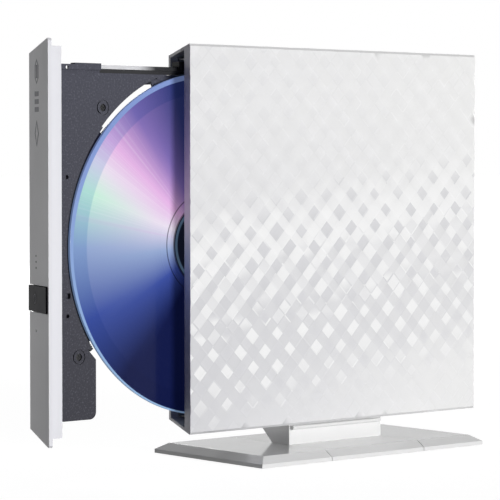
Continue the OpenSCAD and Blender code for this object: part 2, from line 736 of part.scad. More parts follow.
// The chamfer round the patterned side of the bezel
module face_chamfer_front() {
    for (side = [-1, 1])
        along_y([
            [near_x - edge_chamfer, mid_z + side * (half_height(near_x) + eps)],
            [near_x + eps, mid_z + side * (half_height(near_x) - edge_chamfer)],
            [near_x + eps, mid_z + side * (half_height(near_x) + cut)],
            [near_x - edge_chamfer, mid_z + side * (half_height(near_x) + cut)]
        ], front_y - 10, front_y + 10);
}
module light_pipes() {
    color("lightyellow")
    on_tray()
    for (z = light_z)
        rod_along_y(light_x, case_lift + z, 0.36, front_at(light_x) - mouth_gap - bezel_t, tray_y0 - 2.1);
}
module eject_button() {
    face = -mouth_gap - bezel_t - button_proud;
    x0 = far_x + 0.05;
    x1 = near_x - 1.55;
    back = face + button_proud + bezel_t - button_travel - 0.1;
    color("darkslategray")
    on_tray() {
        along_z([
            [x0, front_at(x0) + face], [x1, front_at(x1) + face],
            [x1, front_at(x1) + back], [x0, front_at(x0) + back]
        ], button_z - button_h / 2, button_z + button_h / 2);
        along_z([
            [-3, front_at(-3) + back - 0.2], [3, front_at(3) + back - 0.2], [3, switch_y], [-3, switch_y]
        ], button_z - 2, button_z + 2);
    }
}
switch_y = -65.7;
module eject_switch() {
    color("black")
    on_tray()
    block([-2.4, switch_y + button_travel + 0.1, button_z - 1.8], [2.4, tray_y0 - 1.4, button_z + 1.8]);
}
module spindle_motor() {
    color("gray")
    on_tray() {
        difference() {
            rod_along_x(disc_y, disc_z, 13, tray_x0, tray_x0 + 0.8);
            along_sled() block([tray_x0 - cut, 11.5, -10], [tray_x0 + 2, 20, 10]);
        }
        rod_along_x(disc_y, disc_z, 2.4, tray_x0 + 0.8, -5.2);
    }
}
module turntable() {
    color("dimgray")
    on_tray()
    difference() {
        union() {
            rod_along_x(disc_y, disc_z, rotor_r, -6, -1.2);
            rod_along_x(disc_y, disc_z, turntable_r, -1.3, disc_x0);
            rod_along_x(disc_y, disc_z, hub_r - 0.6, disc_x0 - eps, 2.4);
        }
        rod_along_x(disc_y, disc_z, 2.47, -7, -4.9);
        for (turn = [0:2])
            translate([0, disc_y, disc_z]) rotate([120 * turn, 0, 0])
                translate([disc_x1 + 0.25, hub_r - 0.85, 0]) sphere(r = 0.95);
    }
}
module clamp_balls() {
    color("silver")
    on_tray()
    for (turn = [0:2])
        translate([0, disc_y, disc_z]) rotate([120 * turn, 0, 0])
            translate([disc_x1 + 0.25, hub_r - 0.85, 0]) sphere(r = 0.9);
}
module disc() {
    stack_r = 17;
    color("mediumpurple")
    on_tray()
    difference() {
        union() {
            rod_along_x(disc_y, disc_z, disc_d / 2, disc_x0, disc_x1);
            difference() {
                rod_along_x(disc_y, disc_z, stack_r + 0.5, disc_x1 - eps, disc_x1 + 0.15);
                rod_along_x(disc_y, disc_z, stack_r - 0.5, disc_x1 - cut, disc_x1 + cut);
            }
        }
        rod_along_x(disc_y, disc_z, disc_bore_r, disc_x0 - cut, disc_x1 + cut);
    }
}
module guide_rods() {
    color("silver")
    on_tray() along_sled() {
        rod_along_y(rod_x, rod_far, rod_r, 10, rod_end);
        rod_along_y(rod_x, rod_near, rod_r, 12.5, rod_end);
    }
}
module pickup_sled() {
    bore_gap = 0.06;
    color("gray")
    on_tray() along_sled()
    difference() {
        union() {
            block([-6.9, sled_start - sled_half, -11.5], [-3.5, sled_start + sled_half, 15.5]);
            block([-6.7, sled_start - 2, -17.2], [-3.7, sled_start + 2, -11]);
        }
        for (v = [rod_far, rod_near])
            rod_along_y(rod_x, v, rod_r + bore_gap, 0, 80);
        rod_along_y(rod_x, screw_v, screw_r + 0.2, 0, 80);
    }
}
module pickup_lens() {
    color("skyblue")
    on_tray() along_sled()
    rod_along_x(sled_start, 0, 2.2, -3.5, -1.9);
}
module lead_screw() {
    color("silver")
    on_tray() along_sled()
    rod_along_y(rod_x, screw_v, screw_r, 13.2, rod_end - 2);
}
module sled_motor() {
    color("silver")
    on_tray() along_sled() {
        difference() {
            block([-7.1, 3, screw_v - 2.7], [-3.3, 13, screw_v + 2.7]);
            rod_along_y(rod_x, screw_v, screw_r + 0.06, 12, 14);
        }
    }
}
module solenoid() {
    color("brown")
    on_tray()
    block([-6.6, tray_y0 + skin, post_z - 0.4], [-2.6, -53, post_z + 5.5]);
}
module latch_pin() {
    color("silver")
    on_tray() rod_along_x(pivot_y, pivot_z, 0.8, lever_x0 - 0.2, tray_x1 - skin);
}
module latch_lever() {
    color("gray")
    on_tray()
    along_x(lever_x0, lever_x1)
    difference() {
        union() {
            translate([pivot_y, pivot_z]) circle(r = 1.8);
            square_from([pivot_y, pivot_z - 0.9], [pivot_y + 10.4, pivot_z + 0.9]);
            square_from([pivot_y + 9.2, pivot_z - 0.9], [pivot_y + 10.4, pivot_z + 3.9]);
        }
        translate([pivot_y, pivot_z]) circle(r = 0.86);
    }
}

stand_bar();
stand_wing_front();
stand_wing_rear();
stand_screws();
stand_feet();
cradle_pad();
cradle_lip();
top_cover();
bottom_cover();
rear_panel();
case_feet();
case_screws();
rear_screws();
usb_socket();
usb_tongue();
bridge_board();
bridge_chips();
drive_link();
drive_pan();
drive_lid();
lid_screws();
rail_guide_upper();
rail_guide_lower();
main_board();
main_chips();
ribbon_cable();
eject_pusher();
eject_spring();
middle_rail_upper();
middle_rail_lower();
tray();
tray_cover();
tray_rail_upper();
tray_rail_lower();
tray_screws();
cover_screws();
bezel();
light_pipes();
eject_switch();
spindle_motor();
guide_rods();
sled_motor();
solenoid();
latch_pin();
eject_button();
latch_lever();
lead_screw();
pickup_sled();
pickup_lens();
turntable();
clamp_balls();
disc();
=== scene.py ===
# %% [markdown]
# # A slim external disc drive on a plate stand
# The drive stands upright in a small cradle. Its tray is partly open, so a disc shows between the
# bezel and the case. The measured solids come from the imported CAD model, which is the fixed frame.
# This notebook gives that frame its surfaces: soft edges, the woven relief on the big cover, the
# pressed disc, and a procedural finish for every part.

# %% Load the frame
import json
import math

import bmesh
import bpy
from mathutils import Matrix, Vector


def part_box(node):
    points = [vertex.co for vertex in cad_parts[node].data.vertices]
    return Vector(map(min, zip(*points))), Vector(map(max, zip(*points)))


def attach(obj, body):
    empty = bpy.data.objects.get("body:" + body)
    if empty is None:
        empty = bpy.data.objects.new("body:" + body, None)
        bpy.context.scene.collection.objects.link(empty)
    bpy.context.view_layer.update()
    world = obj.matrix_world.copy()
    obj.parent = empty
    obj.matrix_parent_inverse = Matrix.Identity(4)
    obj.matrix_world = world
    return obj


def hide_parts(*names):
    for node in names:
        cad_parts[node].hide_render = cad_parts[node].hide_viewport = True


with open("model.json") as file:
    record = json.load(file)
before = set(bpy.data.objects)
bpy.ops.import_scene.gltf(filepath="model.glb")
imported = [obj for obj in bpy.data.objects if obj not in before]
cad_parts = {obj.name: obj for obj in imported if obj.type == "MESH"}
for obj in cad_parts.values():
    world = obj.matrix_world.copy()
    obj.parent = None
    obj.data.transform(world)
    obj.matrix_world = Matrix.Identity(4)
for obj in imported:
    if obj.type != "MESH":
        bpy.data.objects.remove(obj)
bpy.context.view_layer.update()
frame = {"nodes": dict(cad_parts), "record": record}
nodes = frame["nodes"]

# %% [markdown]
# ## Sizes
# Blender works in metres and a maker thinks in millimetres, so one helper turns one into the other.
# Positions are read from the CAD boxes wherever a box gives them.

# %% Sizes read from the frame
MM = 0.001


def mm(*values):
    """Millimetres as a vector in metres."""
    return Vector(values) * MM


cover_low, cover_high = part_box("top_cover")
disc_low, disc_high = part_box("disc")
bezel_low, bezel_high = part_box("bezel")
button_low, button_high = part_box("eject_button")
disc_centre = (disc_low + disc_high) / 2
disc_radius = (disc_high.y - disc_low.y) / 2
print("disc radius:", round(disc_radius, 4), "centre:", tuple(round(v, 4) for v in disc_centre))

# %% [markdown]
# ## Camera
# A long lens from a little way off keeps the upright edges nearly parallel.
# Its place and lens come from a least-squares fit of the disc's rim and the corners of the case,
# bezel and stand, with the disc taken as 120 mm. Two angles give the direction that it looks along.

# %% Camera
LENS = 172.05
SENSOR = 36.0
VIEW_YAW = math.radians(40.52)
VIEW_PITCH = math.radians(-2.12)
camera = bpy.data.objects.new("camera", bpy.data.cameras.new("camera"))
camera.data.lens = LENS
camera.data.sensor_width = SENSOR
camera.location = mm(650.32, -590.2, 106.04)
view_direction = Vector((-math.cos(VIEW_YAW) * math.cos(VIEW_PITCH),
                         math.sin(VIEW_YAW) * math.cos(VIEW_PITCH),
                         math.sin(VIEW_PITCH)))
camera.rotation_euler = view_direction.to_track_quat("-Z", "Y").to_euler()
bpy.context.scene.collection.objects.link(camera)
bpy.context.scene.camera = camera
print("lens", LENS, "mm, camera looks along", tuple(round(v, 3) for v in view_direction))

# %% [markdown]
# ## Writing node trees as sums
# Node trees get long when every Add and Multiply is wired by hand. The small class below wraps a
# socket, so that `1 - mask * 0.5` adds its own Math nodes. Every other node comes from one method,
# which takes the node's type, its settings and its inputs. Shaders and Geometry Nodes share both.

# %% A socket that can be used in a sum
class Value:
    def __init__(self, graph, socket):
        self.graph = graph
        self.socket = socket

    def __add__(self, other):
        return self.graph.maths("ADD", self, other)

    def __sub__(self, other):
        return self.graph.maths("SUBTRACT", self, other)

    def __rsub__(self, other):
        return self.graph.maths("SUBTRACT", other, self)

    def __mul__(self, other):
        return self.graph.maths("MULTIPLY", self, other)

    def __truediv__(self, other):
        return self.graph.maths("DIVIDE", self, other)

    def __gt__(self, other):
        return self.graph.maths("GREATER_THAN", self, other)

    def __lt__(self, other):
        return self.graph.maths("LESS_THAN", self, other)

    __radd__ = __add__
    __rmul__ = __mul__


# %% A node tree that makes its nodes in one call
MIX_COLOUR_A = 6
MIX_COLOUR_B = 7
MIX_COLOUR_OUT = 2


class Graph:
    def __init__(self, tree):
        self.tree = tree

    def node(self, kind, settings=None, inputs=None, output=0):
        """Adds one node. Settings come first, then inputs as numbers, colours or other values."""
        made = self.tree.nodes.new(kind)
        for key, value in (settings or {}).items():
            if key == "stops":
                self.set_stops(made.color_ramp, value)
            else:
                setattr(made, key, value)
        for key, value in (inputs or {}).items():
            if isinstance(value, Value):
                self.tree.links.new(value.socket, made.inputs[key])
            else:
                made.inputs[key].default_value = value
        return Value(self, made.outputs[output])

    def set_stops(self, ramp, stops):
        while len(ramp.elements) < len(stops):
            ramp.elements.new(0.5)
        for element, (place, colour) in zip(ramp.elements, stops):
            element.position = place
            element.color = colour

    def maths(self, operation, *values):
        return self.node("ShaderNodeMath", {"operation": operation}, dict(enumerate(values)))

    def sibling(self, value, name):
        """Another output of the node that made this value."""
        return Value(self, value.socket.node.outputs[name])

    def blend(self, factor, first, second, mode="MIX"):
        return self.node("ShaderNodeMix", {"data_type": "RGBA", "blend_type": mode},
                         {0: factor, MIX_COLOUR_A: first, MIX_COLOUR_B: second}, MIX_COLOUR_OUT)

    def spread(self, value, low, high, to_low=0.0, to_high=1.0, smooth=False):
        """Maps a range of a value to another range, and clamps it there."""
        kind = "SMOOTHSTEP" if smooth else "LINEAR"
        return self.node("ShaderNodeMapRange", {"interpolation_type": kind},
                         {"Value": value, "From Min": low, "From Max": high,
                          "To Min": to_low, "To Max": to_high})


# %% [markdown]
# ## A finish is a material with a worked surface
# Real plastic and metal are never one flat colour. Each finish starts from the same recipe: a slow
# change of shade over the part, a fine grain in the bump, and a roughness that wanders a little.
# Everything reads Object coordinates, which are metres in the shared frame.

# %% The finish class
def tone(red, green, blue):
    """A screen colour in 0 to 255 as the linear colour that a shader wants."""
    def linear(value):
        value /= 255
        return value / 12.92 if value <= 0.04045 else ((value + 0.055) / 1.055) ** 2.4
    return (linear(red), linear(green), linear(blue), 1.0)


def shade(colour, factor):
    """A colour made darker or lighter by a factor, kept within white."""
    return tuple(min(1.0, part * factor) for part in colour[:3]) + (1.0,)


class Finish(Graph):
    def __init__(self, name, **constants):
        self.material = bpy.data.materials.new(name)
        self.material.use_nodes = True
        super().__init__(self.material.node_tree)
        self.tree.nodes.clear()
        end = self.tree.nodes.new("ShaderNodeOutputMaterial")
        self.shader = self.tree.nodes.new("ShaderNodeBsdfPrincipled")
        self.tree.links.new(self.shader.outputs[0], end.inputs["Surface"])
        for key, value in constants.items():
            self.shader.inputs[key.replace("_", " ")].default_value = value
        self.place = self.node("ShaderNodeTexCoord", output=3)

    def feed(self, **values):
        for key, value in values.items():
            self.tree.links.new(value.socket, self.shader.inputs[key.replace("_", " ")])

    def noise(self, scale, detail=3.0, roughness=0.55, place=None):
        return self.node("ShaderNodeTexNoise", None,
                         {"Vector": place or self.place, "Scale": scale,
                          "Detail": detail, "Roughness": roughness})

    def stretched(self, along, across):
        """Object coordinates squeezed so that a noise becomes lines along one axis."""
        scales = [across] * 3
        scales["XYZ".index(along)] = 1.0
        return self.node("ShaderNodeMapping", {"vector_type": "POINT"},
                         {"Vector": self.place, "Scale": scales})

    def bump(self, height, distance, strength=1.0, under=None):
        inputs = {"Height": height, "Distance": distance, "Strength": strength}
        if under:
            inputs["Normal"] = under
        return self.node("ShaderNodeBump", None, inputs)


# %% Recipes for plastic, metal and rubber
SHADE_PATCH = 45.0      # noise scale of slow changes of shade: about 20 mm
WEAR_PATCH = 260.0      # noise scale of faint scuffs: about 4 mm


def plastic(name, colour, roughness, grain=2600.0, grain_depth=4e-6, uneven=0.03, **constants):
    """Moulded plastic: a spark-eroded grain, a slow drift of shade and faint scuffs."""
    finish = Finish(name, **constants)
    patch = finish.noise(SHADE_PATCH)
    scuff = finish.spread(finish.noise(WEAR_PATCH, 5.0, 0.7), 0.52, 0.75)
    base = finish.blend(patch, shade(colour, 1 - uneven), shade(colour, 1 + uneven))
    base = finish.blend(scuff * 0.06, base, shade(colour, 0.8))
    rough = finish.spread(patch, 0.3, 0.7, roughness * 0.92, roughness * 1.08) + scuff * 0.06
    finish.feed(Base_Color=base, Roughness=rough,
                Normal=finish.bump(finish.noise(grain, 2.0), grain_depth))
    return finish


def metal(name, colour, roughness, along="Y", lines=90.0, **constants):
    """Rolled or drawn metal: fine lines along one axis and a few darker handling marks."""
    finish = Finish(name, Metallic=1.0, **constants)
    rolled = finish.noise(500.0, 3.0, 0.6, finish.stretched(along, lines / 10))
    mark = finish.spread(finish.noise(110.0, 4.0, 0.65), 0.5, 0.8)
    base = finish.blend(rolled, shade(colour, 0.93), shade(colour, 1.06))
    base = finish.blend(mark * 0.12, base, shade(colour, 0.72))
    rough = finish.spread(rolled, 0.3, 0.7, roughness * 0.85, roughness * 1.2) + mark * 0.08
    finish.feed(Base_Color=base, Roughness=rough, Normal=finish.bump(rolled, 3e-6))
    return finish


# %% [markdown]
# ## Finishes of the outer parts
# The stand is glossy white plastic. The plain shell and the bezel are painted a satin white. The
# tray is dark grey plastic with a coarse grain that sparkles a little, and rubber parts are matt.

# %% Outer finishes
WHITE = tone(230, 230, 230)
finishes = {
    "white_gloss": plastic("white_gloss", WHITE, 0.12, 900.0, 1.5e-6, 0.012,
                           Coat_Weight=0.35, Coat_Roughness=0.06),
    "white_case": plastic("white_case", tone(226, 226, 231), 0.34, 2200.0, 4e-6, 0.015),
    "foot_rubber": plastic("foot_rubber", tone(96, 96, 99), 0.78, 1800.0, 2e-5, 0.08),
    "pad_rubber": plastic("pad_rubber", tone(205, 205, 206), 0.6, 1500.0, 1e-5, 0.04),
    "button_charcoal": plastic("button_charcoal", tone(30, 30, 36), 0.6, 2400.0, 6e-6, 0.05,
                               Specular_IOR_Level=0.2),
    "mark_grey": plastic("mark_grey", tone(140, 140, 150), 0.5, 2200.0, 4e-6, 0.03),
    "guide_plastic": plastic("guide_plastic", tone(32, 32, 36), 0.5, 2000.0, 8e-6, 0.06),
    "lever_plastic": plastic("lever_plastic", tone(214, 212, 200), 0.4, 2000.0, 5e-6, 0.04),
    "black_plastic": plastic("black_plastic", tone(34, 34, 37), 0.4, 2200.0, 5e-6, 0.08),
    "turntable_black": plastic("turntable_black", tone(48, 48, 52), 0.45, 2400.0, 8e-6, 0.07),
    "chip_black": plastic("chip_black", tone(40, 40, 43), 0.55, 3000.0, 6e-6, 0.08),
    "light_lens": plastic("light_lens", tone(120, 122, 118), 0.2, 1500.0, 1e-6, 0.05),
}
print("outer finishes:", len(finishes))

# %% Metal finishes
finishes.update({
    "stand_screw_steel": metal("stand_screw_steel", tone(150, 150, 155), 0.35, "Z"),
    "screw_steel": metal("screw_steel", tone(176, 176, 180), 0.3, "X"),
    "socket_steel": metal("socket_steel", tone(205, 205, 208), 0.25),
    "drive_steel": metal("drive_steel", tone(168, 170, 173), 0.42, "Y", 60.0),
    "spring_steel": metal("spring_steel", tone(190, 190, 194), 0.25),
    "motor_steel": metal("motor_steel", tone(178, 178, 184), 0.3, "X"),
    "solenoid_copper": metal("solenoid_copper", tone(196, 120, 80), 0.35, "Z", 160.0),
    "sled_metal": metal("sled_metal", tone(158, 158, 160), 0.46, "X", 30.0),
})


def circuit_board():
    """Green solder mask over copper: the tracks stand a little proud and shine lighter."""
    finish = Finish("circuit_green", Coat_Weight=0.3, Coat_Roughness=0.2)
    cells = finish.node("ShaderNodeTexVoronoi", {"feature": "DISTANCE_TO_EDGE", "distance": "MANHATTAN"},
                        {"Vector": finish.place, "Scale": 420.0})
    track = finish.spread(cells, 0.05, 0.09, 1.0, 0.0)
    base = finish.blend(track, tone(16, 74, 44), tone(48, 118, 72))
    finish.feed(Base_Color=base, Roughness=finish.spread(finish.noise(200.0), 0.3, 0.7, 0.35, 0.45),
                Normal=finish.bump(track, 2e-5))
    return finish


def flat_cable():
    """Amber film with parallel copper tracks that run along the cable."""
    finish = Finish("ribbon_amber", Coat_Weight=0.5, Coat_Roughness=0.1)
    across = finish.node("ShaderNodeSeparateXYZ", None, {"Vector": finish.place}, "Z")
    wave = finish.maths("FRACT", across * 1000.0)
    track = finish.spread(finish.maths("ABSOLUTE", wave - 0.5), 0.18, 0.26)
    base = finish.blend(track, tone(178, 104, 40), tone(222, 170, 110))
    finish.feed(Base_Color=base, Roughness=finish.spread(finish.noise(300.0), 0.3, 0.7, 0.3, 0.4))
    return finish


def lens_glass():
    """The pickup's coated lens: a very smooth dark glass between blue and violet."""
    finish = Finish("lens_glass", Coat_Weight=1.0, Coat_Roughness=0.02, IOR=1.6)
    tint = finish.blend(finish.noise(400.0), tone(22, 30, 58), tone(70, 52, 110))
    finish.feed(Base_Color=tint, Roughness=finish.spread(finish.noise(900.0), 0.3, 0.7, 0.04, 0.1))
    return finish


def tray_plastic():
    """Dark grey plastic with metal flakes: a coarse sparkle, and painted shade that darkens it a little
    towards its foot.
    """
    finish = Finish("tray_grey", Specular_IOR_Level=0.25)
    up = finish.node("ShaderNodeSeparateXYZ", None, {"Vector": finish.place}, "Z")
    # Painted shade: a little darker towards the foot
    base = finish.blend(finish.spread(up / MM, 20.0, 135.0), tone(52, 52, 60), tone(68, 69, 80))
    flake = finish.noise(1600.0, 1.0)
    light = finish.spread(flake, 0.55, 0.75)
    dark = finish.spread(flake, 0.45, 0.25)
    base = finish.blend(light * 0.35, base, tone(118, 119, 130))
    base = finish.blend(dark * 0.35, base, tone(44, 44, 52))
    finish.feed(Base_Color=base, Roughness=finish.spread(flake, 0.3, 0.7, 0.46, 0.6),
                Normal=finish.bump(flake, 4e-5))
    return finish


RAIL_FOOT = 137.4       # height of the upper rail's foot, in mm: steel below it is painted black as painted shade
RAIL_SHADE_STRETCH = (-86.0, -79.0)      # the stretch in Y, in mm, over which painted shade turns the bright steel black


def rail_metal():
    """Steel that is bright at the upper rail's open front end, and painted black as painted shade behind it
    and below its foot.

    The lower rails, the rods and the lead screw lie below that height, so the painted black covers them all
    over.
    """
    finish = metal("rail_steel", tone(205, 205, 208), 0.42, "Y", 160.0)
    along = finish.node("ShaderNodeSeparateXYZ", None, {"Vector": finish.place}, "Y")
    up = finish.sibling(along, "Z")
    # Painted shade: black behind the front end and below the foot
    dark = finish.maths("MAXIMUM", finish.spread(along / MM, *RAIL_SHADE_STRETCH),
                        finish.spread(up / MM, RAIL_FOOT - 0.02, RAIL_FOOT, 1.0, 0.0))
    bright = Value(finish, finish.shader.inputs["Base Color"].links[0].from_socket)
    finish.feed(Base_Color=finish.blend(dark, bright, tone(26, 26, 30)), Metallic=1.0 - dark * 0.9)
    return finish


finishes["rail_steel"] = rail_metal()
finishes["tray_grey"] = tray_plastic()
finishes["circuit_green"] = circuit_board()
finishes["ribbon_amber"] = flat_cable()
finishes["lens_glass"] = lens_glass()
print("finishes so far:", len(finishes))

# %% [markdown]
# ## The pressed disc's colours
# A disc is a fine spiral grating, so light leaves it as a fan of colour. That light is painted into the
# disc's colour here, fixed by the angle round the spindle. A short list of colours is laid round it,
# painted shade on the shaded side and painted light where the fan opens. Near the hub and near the rim
# the grating sends other colours to the eye, so two ramps over the angle are mixed by the radius. A noise
# that only changes with the angle gives the thin radial streaks of painted highlight, and the unwritten
# zones stay plainer.

# %% Colours round the disc, each at an angle in degrees
NIGHT = (10, 20, 70)
INDIGO = (50, 60, 120)
LILAC = (130, 110, 180)
PINK = (230, 180, 230)
PEARL = (235, 225, 240)
MINT = (200, 240, 220)
HAZE = (150, 170, 210)
BLUE = (60, 80, 160)
# Painted light and shade: the colour that the grating's light gives at each angle, dark where none
PAINTED_SHADE_ARC = [(0, NIGHT), (270, NIGHT), (310, NIGHT), (330, INDIGO), (350, NIGHT)]
HUB_FAN = [(60, NIGHT), (105, INDIGO), (120, LILAC), (140, PINK), (160, PEARL), (185, HAZE),
           (210, BLUE), (235, NIGHT)]
RIM_FAN = [(60, NIGHT), (105, INDIGO), (125, LILAC), (140, PINK), (150, PEARL), (160, MINT),
           (180, HAZE), (205, BLUE), (230, NIGHT)]
print("stops round the hub:", len(HUB_FAN + PAINTED_SHADE_ARC), "round the rim:", len(RIM_FAN + PAINTED_SHADE_ARC))

# %% Disc finish
BLACK = tone(0, 0, 0)
PAINTED_GLOW_SHARE = 0.35       # the share of the colour that is a painted glow, so the disc stays bright even in the shade
STREAKS_AT = 150.0      # the angle that the painted highlight streaks gather round, in degrees
WRITTEN_END = 52.8      # radii in mm: where the written zone ends,
HUB_RINGS = (18.4, 15.4)        # the two dark rings at the hub,
CLEAR_HUB = 15.1        # the edge of the dark centre,
CRESCENT = 14.2         # and the pale line in it


def disc_finish():
    """Polycarbonate over a mirror, light painted: colour fan, highlight streaks, clear hub, pale rim, glow.
    """
    finish = Finish("disc_polycarbonate", Emission_Strength=1.0, IOR=1.5, Coat_Roughness=0.03,
                    Specular_IOR_Level=0.08)
    offset = finish.node("ShaderNodeMapping", None,
                         {"Vector": finish.place, "Location": (0.0, -disc_centre.y, -disc_centre.z)})
    across = finish.node("ShaderNodeSeparateXYZ", None, {"Vector": offset}, "Y")
    up = finish.sibling(across, "Z")
    angle = finish.maths("ARCTAN2", up, across) / math.tau
    turn = finish.maths("FRACT", angle + 1.0)
    radius = finish.maths("SQRT", across * across + up * up) / MM

    def fan(stops):
        stops = sorted(stops + PAINTED_SHADE_ARC)
        return finish.node("ShaderNodeValToRGB",
                           {"stops": [(degrees / 360, tone(*colour)) for degrees, colour in stops]},
                           {"Fac": turn})

    # Painted light: the two fans of colour, mixed by the radius
    colour = finish.blend(finish.spread(radius, 25.0, 52.0), fan(HUB_FAN), fan(RIM_FAN))
    # Streaks of painted highlight: a noise read only at the angle, squeezed so that it is very fine round
    # the disc
    ray = finish.node("ShaderNodeCombineXYZ", None,
                      {"X": finish.maths("COSINE", angle * math.tau),
                       "Y": finish.maths("SINE", angle * math.tau)})
    fine = finish.noise(70.0, 4.0, 0.75, ray)
    broad = finish.noise(14.0, 3.0, 0.6, ray)
    off_streaks = finish.maths("ABSOLUTE", angle * 360.0 - STREAKS_AT)
    lit = finish.spread(off_streaks, 12.0, 24.0, 1.0, 0.0, True)
    colour = finish.blend(finish.spread(fine, 0.5, 0.7) * lit * 0.3, colour, tone(255, 250, 255))
    colour = finish.blend(finish.spread(broad, 0.6, 0.7) * lit * 0.3, colour, tone(224, 150, 224))
    # Over the last few millimetres of the written zone the painted light is darker and colder
    end = finish.spread(radius, WRITTEN_END, WRITTEN_END + 0.4)
    colour = finish.blend(end * 0.5, colour, tone(176, 212, 236), "MULTIPLY")
    # The clear hub: two thin dark rings, then a dark centre with a pale line round it as a painted sheen
    for ring in HUB_RINGS:
        near = finish.spread(finish.maths("ABSOLUTE", radius - ring), 0.12, 0.3, 1.0, 0.0)
        colour = finish.blend(near * 0.7, colour, tone(16, 22, 48))
    hub = finish.spread(radius, CLEAR_HUB, CLEAR_HUB + 0.1, 1.0, 0.0)
    colour = finish.blend(hub, colour, tone(20, 26, 44))
    crescent = finish.spread(finish.maths("ABSOLUTE", radius - CRESCENT), 0.3, 0.7, 1.0, 0.0)
    colour = finish.blend(crescent * 0.8, colour, tone(110, 140, 170))
    # The moulded rim shows painted light, lighter than the rest: narrow at the foot, wider towards the top
    inner = finish.spread(up / MM, -50.0, 20.0, 59.3, 58.2)
    rim = finish.spread(radius - inner, 0.0, 0.2)
    rim_colour = finish.blend(finish.spread(up / MM, -50.0, 30.0), tone(150, 184, 224),
                              tone(134, 156, 212))
    colour = finish.blend(rim, colour, rim_colour)
    track = finish.maths("SINE", radius * 22.0)
    colour = finish.blend(finish.spread(track, 0.5, 1.0) * 0.04, colour, tone(180, 190, 230))
    # A share of the colour is a painted glow in the emission; the base keeps the rest, so the two add up to
    # the whole
    finish.feed(Base_Color=finish.blend(PAINTED_GLOW_SHARE, colour, BLACK),
                Emission_Color=finish.blend(1.0 - PAINTED_GLOW_SHARE, colour, BLACK),
                Coat_Weight=finish.spread(radius, 20.0, 58.0, 0.03, 0.06),
                Roughness=finish.spread(fine, 0.3, 0.7, 0.16, 0.24) + rim * 0.05)
    return finish


finishes["disc_polycarbonate"] = disc_finish()
print("disc finish has", len(finishes["disc_polycarbonate"].tree.nodes), "shader nodes")

# %% [markdown]
# ## The patterned cover's finish
# The cover is white under a hard gloss. How its facets catch the light is painted into the colour: a
# soft belt of painted reflection runs up across the face. Above it the bands are painted bright and the
# sunk diamonds grey, below it the diamonds are the bright ones, and the rear of the face is painted
# brighter. The relief carries three attributes from Geometry Nodes, one for each family of bands and a
# random value per facet, so the painted highlights and shade follow the real facets.

# %% Patterned cover finish
REFLECTION_BELT_START = (-70.5, 59.0)      # where the painted reflection belt crosses the cover's front edge, Y and Z in mm
REFLECTION_BELT_END = (67.4, 79.0)         # and its rear edge
RAKE = 7.3 / 21.0               # how much the front leans back for each millimetre of depth
FRONT_PLANE = cover_high.x / MM * RAKE + cover_low.y / MM


def cover_finish():
    """Hard white gloss whose bands and diamonds get painted highlights and shade on either side of the
    belt.
    """
    finish = Finish("patterned_white", Coat_Roughness=0.12, Coat_Weight=0.25)
    along = finish.node("ShaderNodeSeparateXYZ", None, {"Vector": finish.place}, "Y")
    up = finish.sibling(along, "Z")
    run = REFLECTION_BELT_END[0] - REFLECTION_BELT_START[0]
    rise = REFLECTION_BELT_END[1] - REFLECTION_BELT_START[1]
    length = math.hypot(run, rise)
    # Signed distance from the belt's middle line, in millimetres, positive above it
    above = ((up / MM - REFLECTION_BELT_START[1]) * run - (along / MM - REFLECTION_BELT_START[0]) * rise) / length
    drift = finish.noise(SHADE_PATCH)
    above = above + (drift - 0.5) * 8.0
    stored = {name: finish.node("ShaderNodeAttribute", {"attribute_name": name}, output="Fac")
              for name in ("band_u", "band_v", "glint")}
    glint = stored["glint"]
    above = above + (glint - 0.5) * 12.0
    diamond = (stored["band_u"] < 0.5) * (stored["band_v"] < 0.5)
    near = finish.spread(finish.maths("ABSOLUTE", above + 8.0), 18.0, 42.0, 1.0, 0.0, True)
    # Painted light: the rear of the face painted brighter, and painted shade below the belt
    back = finish.spread(along / MM, -70.0, 70.0)
    top = finish.spread(above, -30.0, 60.0)
    base = finish.blend(top, tone(212, 212, 215), tone(234, 234, 235))
    base = finish.blend(back * 0.8, base, tone(244, 244, 243))
    # The front edge beside the mouth is painted a little greyer, as painted shade
    across = finish.sibling(along, "X")
    front = (along + across * RAKE) / MM - FRONT_PLANE
    edge = finish.spread(front, 0.1, 0.2, 1.0, 0.0)
    # Painted highlight and painted shade on the bands and diamonds near the belt
    bright = tone(246, 246, 246)
    grey = tone(206, 206, 210)
    cross_v = finish.spread(above, -14.0, -10.0)
    cross_u = finish.spread(above, 6.0, 10.0)
    cross_d = finish.spread(above, -15.0, -11.0)
    for cross, band in ((cross_v, stored["band_v"]), (cross_u, stored["band_u"])):
        base = finish.blend(near * band * (1.0 - cross) * 0.28, base, grey)
        base = finish.blend(near * band * cross * 0.75, base, bright)
    base = finish.blend(near * diamond * (1.0 - cross_d) * 0.85, base, bright)
    base = finish.blend(near * diamond * cross_d * 0.6, base, grey)
    base = finish.blend(top * diamond * (1.0 - back) * 0.25, base, tone(216, 216, 219))
    # A little random painted shade per facet
    base = finish.blend(glint * 0.08, base, tone(215, 215, 222))
    # Painted shade on the front edge
    base = finish.blend(edge, base, tone(196, 194, 202))
    finish.feed(Base_Color=base,
                Roughness=finish.spread(glint, 0.0, 1.0, 0.2, 0.3) + edge * 0.4,
                Normal=finish.bump(finish.noise(1400.0, 2.0), 1e-6))
    return finish


finishes["patterned_white"] = cover_finish()
print("finishes in all:", len(finishes))

# %% [markdown]
# ## Give every CAD node its finish
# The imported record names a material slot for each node. The node keeps its mesh, and only the
# material in its slot changes.

